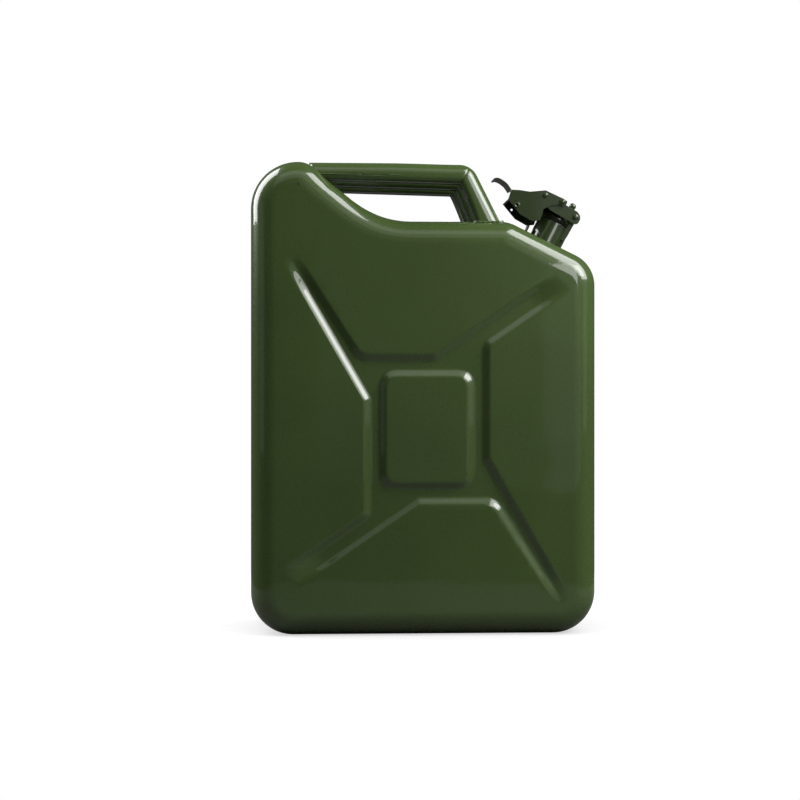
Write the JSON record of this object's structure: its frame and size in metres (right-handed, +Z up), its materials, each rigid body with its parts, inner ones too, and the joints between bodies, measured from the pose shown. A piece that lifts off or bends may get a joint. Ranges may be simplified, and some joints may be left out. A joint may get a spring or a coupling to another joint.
{
  "type": "jerry can",
  "caption": "Pressed-steel jerry can with cross-embossed broad faces, triple carrying handle, sloping shoulder and a tilted filler neck closed by a hinged cam-lever lid.",
  "frame": {"origin": "centre of the base, on the surface the can stands on", "axes": "+Z up, +X towards the filler neck, -Y towards the front broad face"},
  "size_m": [0.3436, 0.165, 0.47],
  "materials": {
    "enamel": "very glossy dark olive-green stoved enamel on steel sheet",
    "plated_steel": "zinc-plated steel, slightly dull",
    "gasket_rubber": "matt black rubber"
  },
  "bodies": {
    "root": {"front_shell": "enamel", "rear_shell": "enamel", "handle_front": "enamel", "handle_middle": "enamel", "handle_rear": "enamel", "breather_tube": "plated_steel", "neck_tube": "enamel", "neck_saddle": "enamel", "latch_catch": "enamel", "hinge_bracket": "enamel", "hinge_pin": "enamel"},
    "carrier": {"lid_carrier": "enamel", "carrier_knob": "enamel", "lever_stud_front": "enamel", "lever_stud_rear": "enamel"},
    "lever": {"lever": "enamel", "lever_rivet_front": "enamel", "lever_rivet_rear": "enamel", "lever_eyelet_front": "enamel", "lever_eyelet_rear": "enamel"},
    "lid": {"lid_cup": "enamel", "lid_gasket": "gasket_rubber", "gasket_retainer": "plated_steel", "lid_rivet": "plated_steel"}
  },
  "joints": [
    {"name": "carrier_hinge", "type": "hinge", "parent": "root", "child": "carrier", "pos_m": [0.1583, 0, 0.42013], "axis": [0, 1, 0], "range_deg": [0, 120]},
    {"name": "lever_pivot", "type": "hinge", "parent": "carrier", "child": "lever", "pos_m": [0.14471, 0, 0.4355], "axis": [0, 1, 0], "range_deg": [0, 25]},
    {"name": "lid_rock", "type": "hinge", "parent": "carrier", "child": "lid", "pos_m": [0.14762, 0, 0.43106], "axis": [0, 1, 0], "range_deg": [-1, 1]}
  ]
}
